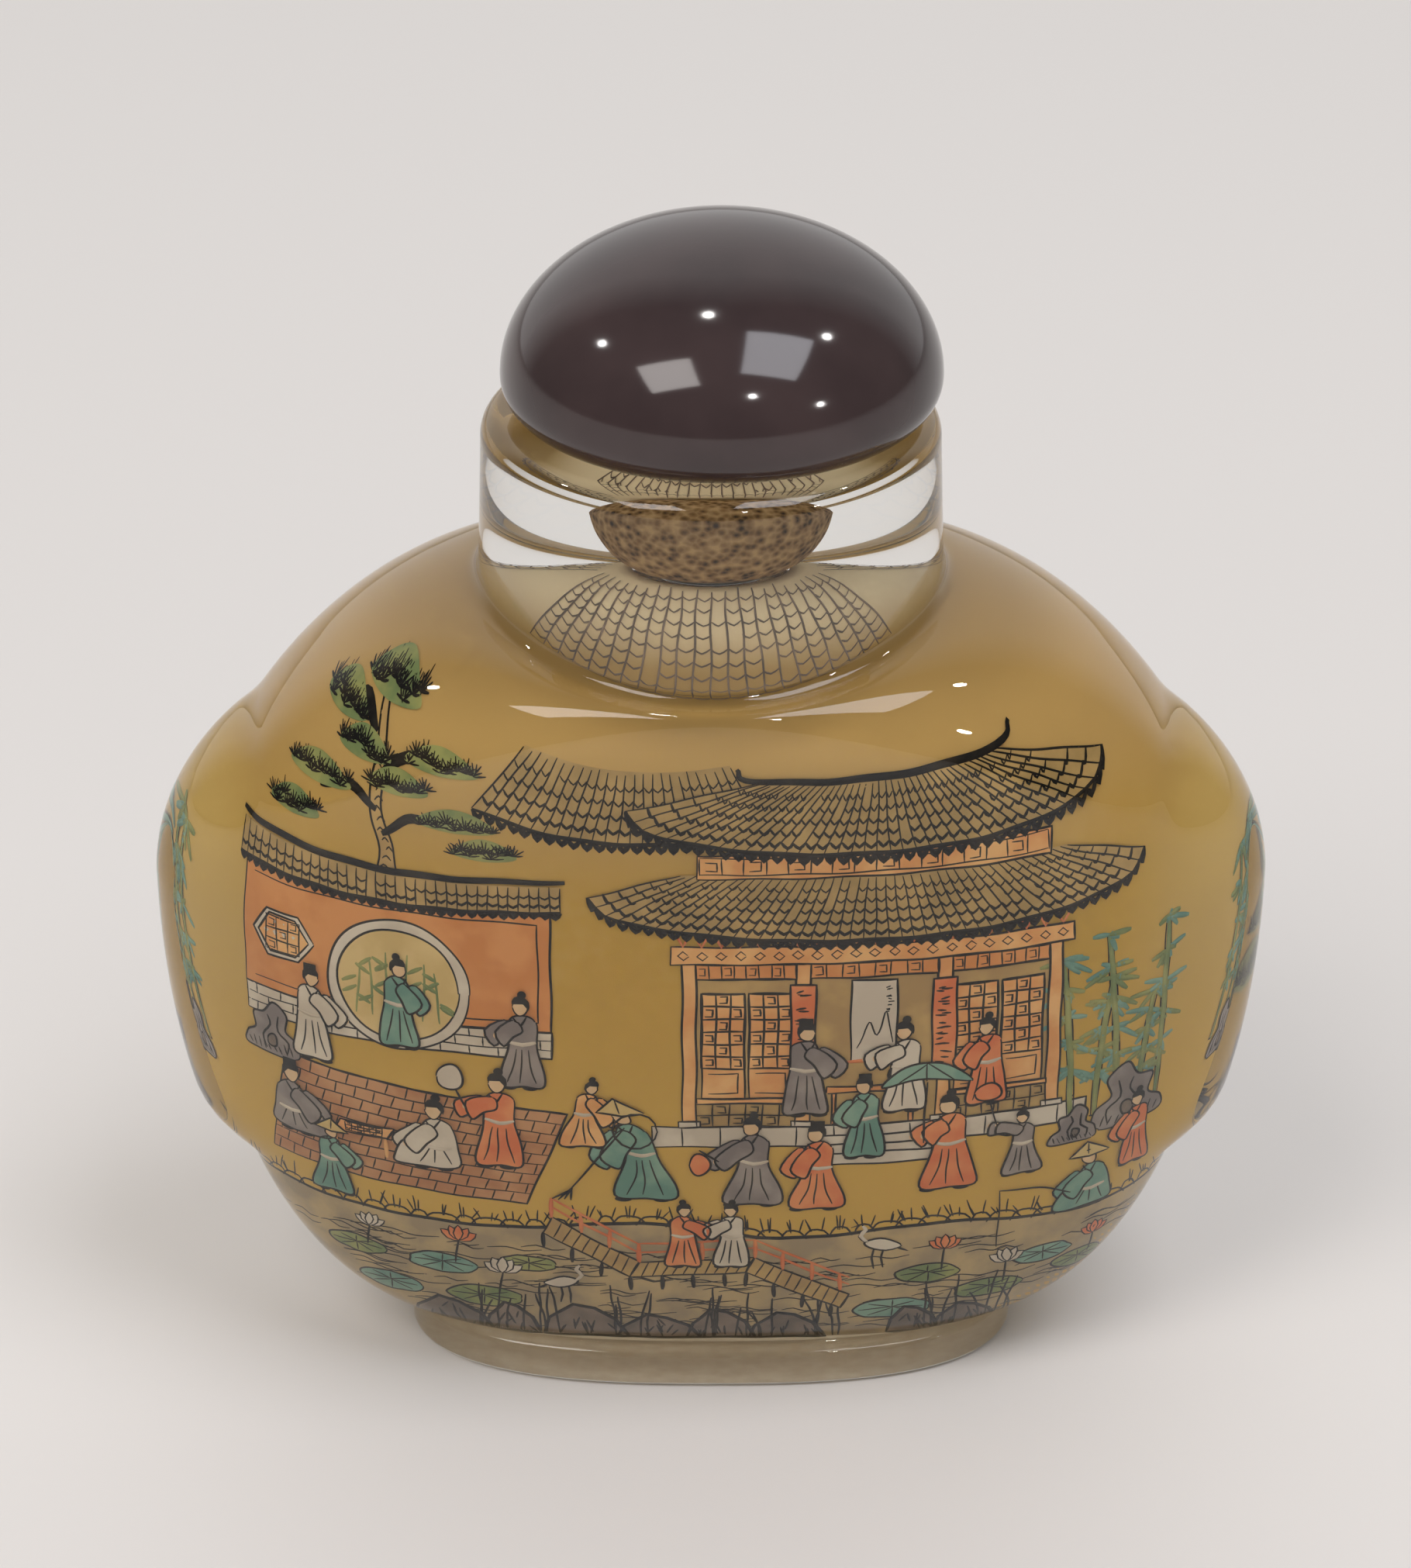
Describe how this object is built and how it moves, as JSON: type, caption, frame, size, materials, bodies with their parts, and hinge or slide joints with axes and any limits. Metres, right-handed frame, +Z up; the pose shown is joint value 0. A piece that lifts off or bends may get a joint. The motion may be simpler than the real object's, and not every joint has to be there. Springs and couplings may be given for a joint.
{
  "type": "snuff bottle",
  "caption": "Flattened clear glass snuff bottle on an oval foot, with side lugs, a wide round neck, a painted inside wall and a domed stopper on a cork.",
  "frame": {"origin": "middle of the foot's flat underside", "axes": "+Z up along the bottle's axis, +Y from the front face to the back face, +X across the bottle from lug to lug"},
  "size_m": [0.0638, 0.03, 0.0689],
  "materials": {
    "painted_glass": "clear polished glass with a picture painted on its inside wall in ochre, ink, orange red and grey green",
    "polished_stone": "polished dark aubergine brown",
    "cork": "dry speckled cork"
  },
  "bodies": {
    "root": {"bottle": "painted_glass", "stopper": "polished_stone", "cork": "cork"}
  },
  "joints": []
}
